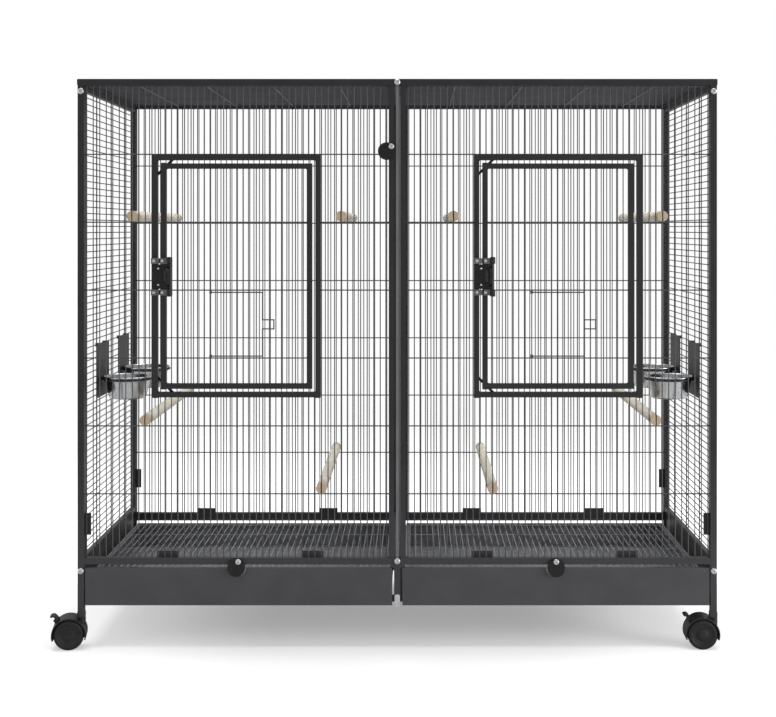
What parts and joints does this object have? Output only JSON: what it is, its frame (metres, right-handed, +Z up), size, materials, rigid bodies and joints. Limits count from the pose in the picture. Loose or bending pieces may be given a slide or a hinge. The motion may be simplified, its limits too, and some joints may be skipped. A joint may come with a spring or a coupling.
{
  "type": "double flight bird cage",
  "caption": "Wide wheeled flight cage for small birds with a sliding wire divider, a swinging door in each half, pull-out trays under floor grates, perches and hanging cups.",
  "frame": {"origin": "on the floor under the middle of the cage", "axes": "+X along the width towards the cage's right as seen from the front, +Y from front to back, +Z up"},
  "size_m": [1.3036, 0.5394, 1.068],
  "materials": {
    "graphite_powder_coat": "satin graphite powder coat on square steel tube",
    "graphite_wire": "graphite powder coat on welded wire",
    "tray_coat": "satin dark grey coat on folded sheet",
    "zinc_plate": "bright zinc plating",
    "cup_steel": "polished stainless steel",
    "perch_wood": "plain planed hardwood",
    "black_plastic": "black moulded plastic",
    "latch_grey": "grey moulded plastic",
    "caster_black": "black moulded nylon",
    "wheel_black": "black moulded tread"
  },
  "bodies": {
    "cage": {"front_left_frame": "graphite_powder_coat", "front_left_wires": "graphite_wire", "front_right_frame": "graphite_powder_coat", "front_right_wires": "graphite_wire", "back_frame": "graphite_powder_coat", "back_wires": "graphite_wire", "left_side_frame": "graphite_powder_coat", "left_side_wires": "graphite_wire", "right_side_frame": "graphite_powder_coat", "right_side_wires": "graphite_wire", "roof_frame": "graphite_powder_coat", "roof_wires": "graphite_wire", "legs": "graphite_powder_coat", "tray_runners": "graphite_powder_coat", "centre_beams": "graphite_powder_coat", "centre_channel": "zinc_plate", "frame_bolts": "zinc_plate", "seed_guard_clips": "graphite_powder_coat", "left_perches": "perch_wood", "right_perches": "perch_wood", "left_cup_holders": "graphite_powder_coat", "right_cup_holders": "graphite_powder_coat", "door_pins": "zinc_plate", "latch_keepers": "latch_grey", "lock_screws": "zinc_plate"},
    "left_door": {"left_door_frame": "graphite_powder_coat", "left_door_wires": "graphite_wire", "left_latch_plate": "latch_grey"},
    "left_bolt": {"left_latch_bolt": "black_plastic"},
    "left_hatch": {"left_hatch": "graphite_wire"},
    "left_tray": {"left_tray": "tray_coat"},
    "left_grate": {"left_grate": "graphite_wire"},
    "left_lock": {"left_tray_lock": "black_plastic"},
    "left_front_cup": {"left_front_cup": "cup_steel"},
    "left_rear_cup": {"left_rear_cup": "cup_steel"},
    "right_door": {"right_door_frame": "graphite_powder_coat", "right_door_wires": "graphite_wire", "right_latch_plate": "latch_grey"},
    "right_bolt": {"right_latch_bolt": "black_plastic"},
    "right_hatch": {"right_hatch": "graphite_wire"},
    "right_tray": {"right_tray": "tray_coat"},
    "right_grate": {"right_grate": "graphite_wire"},
    "right_lock": {"right_tray_lock": "black_plastic"},
    "right_front_cup": {"right_front_cup": "cup_steel"},
    "right_rear_cup": {"right_rear_cup": "cup_steel"},
    "divider": {"divider_frame": "graphite_powder_coat", "divider_wires": "graphite_wire"},
    "divider_turn_lock": {"divider_lock": "black_plastic"},
    "front_left_swivel": {"front_left_caster": "caster_black"},
    "front_left_wheel_pair": {"front_left_wheels": "wheel_black"},
    "front_left_brake_lever": {"front_left_brake": "caster_black"},
    "front_right_swivel": {"front_right_caster": "caster_black"},
    "front_right_wheel_pair": {"front_right_wheels": "wheel_black"},
    "front_right_brake_lever": {"front_right_brake": "caster_black"},
    "rear_left_swivel": {"rear_left_caster": "caster_black"},
    "rear_left_wheel_pair": {"rear_left_wheels": "wheel_black"},
    "rear_left_brake_lever": {"rear_left_brake": "caster_black"},
    "rear_right_swivel": {"rear_right_caster": "caster_black"},
    "rear_right_wheel_pair": {"rear_right_wheels": "wheel_black"},
    "rear_right_brake_lever": {"rear_right_brake": "caster_black"}
  },
  "joints": [
    {"name": "left_door_swing", "type": "hinge", "parent": "cage", "child": "left_door", "pos_m": [-0.165, -0.24, 0.7], "axis": [0, 0, 1], "range_deg": [0, 110]},
    {"name": "left_bolt_slide", "type": "slide", "parent": "left_door", "child": "left_bolt", "axis": [1, 0, 0], "range_m": [0, 0.012]},
    {"name": "left_hatch_swing", "type": "hinge", "parent": "left_door", "child": "left_hatch", "pos_m": [-0.35108, -0.24, 0.607], "axis": [0, 0, -1], "range_deg": [0, 105]},
    {"name": "left_tray_slide", "type": "slide", "parent": "cage", "child": "left_tray", "axis": [0, -1, 0], "range_m": [0, 0.49]},
    {"name": "left_grate_lift", "type": "slide", "parent": "left_tray", "child": "left_grate", "axis": [0, 0, 1], "range_m": [0, 0.12]},
    {"name": "left_lock_turn", "type": "hinge", "parent": "cage", "child": "left_lock", "pos_m": [-0.2977, -0.2493, 0.163], "axis": [0, 1, 0], "continuous": true},
    {"name": "left_front_cup_lift", "type": "slide", "parent": "cage", "child": "left_front_cup", "axis": [0, 0, 1], "range_m": [0, 0.06]},
    {"name": "left_rear_cup_lift", "type": "slide", "parent": "cage", "child": "left_rear_cup", "axis": [0, 0, 1], "range_m": [0, 0.06]},
    {"name": "right_door_swing", "type": "hinge", "parent": "cage", "child": "right_door", "pos_m": [0.439, -0.24, 0.7], "axis": [0, 0, 1], "range_deg": [0, 110]},
    {"name": "right_bolt_slide", "type": "slide", "parent": "right_door", "child": "right_bolt", "axis": [1, 0, 0], "range_m": [0, 0.012]},
    {"name": "right_hatch_swing", "type": "hinge", "parent": "right_door", "child": "right_hatch", "pos_m": [0.25292, -0.24, 0.607], "axis": [0, 0, -1], "range_deg": [0, 105]},
    {"name": "right_tray_slide", "type": "slide", "parent": "cage", "child": "right_tray", "axis": [0, -1, 0], "range_m": [0, 0.49]},
    {"name": "right_grate_lift", "type": "slide", "parent": "right_tray", "child": "right_grate", "axis": [0, 0, 1], "range_m": [0, 0.12]},
    {"name": "right_lock_turn", "type": "hinge", "parent": "cage", "child": "right_lock", "pos_m": [0.2977, -0.2493, 0.163], "axis": [0, 1, 0], "continuous": true},
    {"name": "right_front_cup_lift", "type": "slide", "parent": "cage", "child": "right_front_cup", "axis": [0, 0, 1], "range_m": [0, 0.06]},
    {"name": "right_rear_cup_lift", "type": "slide", "parent": "cage", "child": "right_rear_cup", "axis": [0, 0, 1], "range_m": [0, 0.06]},
    {"name": "divider_slide", "type": "slide", "parent": "cage", "child": "divider", "axis": [0, -1, 0], "range_m": [0, 0.47]},
    {"name": "divider_lock_turn", "type": "hinge", "parent": "cage", "child": "divider_turn_lock", "pos_m": [-0.011, -0.2483, 0.941], "axis": [0, 1, 0], "range_deg": [-45, 45]},
    {"name": "front_left_swivel_turn", "type": "hinge", "parent": "cage", "child": "front_left_swivel", "pos_m": [-0.594, -0.24, 0.0565], "axis": [0, 0, 1], "continuous": true},
    {"name": "front_left_wheel_spin", "type": "hinge", "parent": "front_left_swivel", "child": "front_left_wheel_pair", "pos_m": [-0.61573, -0.24344, 0.028], "axis": [0.1564, -0.9877, 0], "continuous": true},
    {"name": "front_left_brake_tip", "type": "hinge", "parent": "front_left_swivel", "child": "front_left_brake_lever", "pos_m": [-0.63952, -0.24721, 0.05475], "axis": [0.1564, -0.9877, 0], "range_deg": [0, 25]},
    {"name": "front_right_swivel_turn", "type": "hinge", "parent": "cage", "child": "front_right_swivel", "pos_m": [0.594, -0.24, 0.0565], "axis": [0, 0, 1], "continuous": true},
    {"name": "front_right_wheel_spin", "type": "hinge", "parent": "front_right_swivel", "child": "front_right_wheel_pair", "pos_m": [0.57203, -0.23885, 0.028], "axis": [-0.0523, -0.9986, 0], "continuous": true},
    {"name": "front_right_brake_tip", "type": "hinge", "parent": "front_right_swivel", "child": "front_right_brake_lever", "pos_m": [0.54797, -0.23759, 0.05475], "axis": [-0.0523, -0.9986, 0], "range_deg": [0, 25]},
    {"name": "rear_left_swivel_turn", "type": "hinge", "parent": "cage", "child": "rear_left_swivel", "pos_m": [-0.594, 0.24, 0.0565], "axis": [0, 0, 1], "continuous": true},
    {"name": "rear_left_wheel_spin", "type": "hinge", "parent": "rear_left_swivel", "child": "rear_left_wheel_pair", "pos_m": [-0.57203, 0.23885, 0.028], "axis": [0.0523, 0.9986, 0], "continuous": true},
    {"name": "rear_left_brake_tip", "type": "hinge", "parent": "rear_left_swivel", "child": "rear_left_brake_lever", "pos_m": [-0.54797, 0.23759, 0.05475], "axis": [0.0523, 0.9986, 0], "range_deg": [0, 25]},
    {"name": "rear_right_swivel_turn", "type": "hinge", "parent": "cage", "child": "rear_right_swivel", "pos_m": [0.594, 0.24, 0.0565], "axis": [0, 0, 1], "continuous": true},
    {"name": "rear_right_wheel_spin", "type": "hinge", "parent": "rear_right_swivel", "child": "rear_right_wheel_pair", "pos_m": [0.61573, 0.24344, 0.028], "axis": [-0.1564, 0.9877, 0], "continuous": true},
    {"name": "rear_right_brake_tip", "type": "hinge", "parent": "rear_right_swivel", "child": "rear_right_brake_lever", "pos_m": [0.63952, 0.24721, 0.05475], "axis": [-0.1564, 0.9877, 0], "range_deg": [0, 25]}
  ]
}
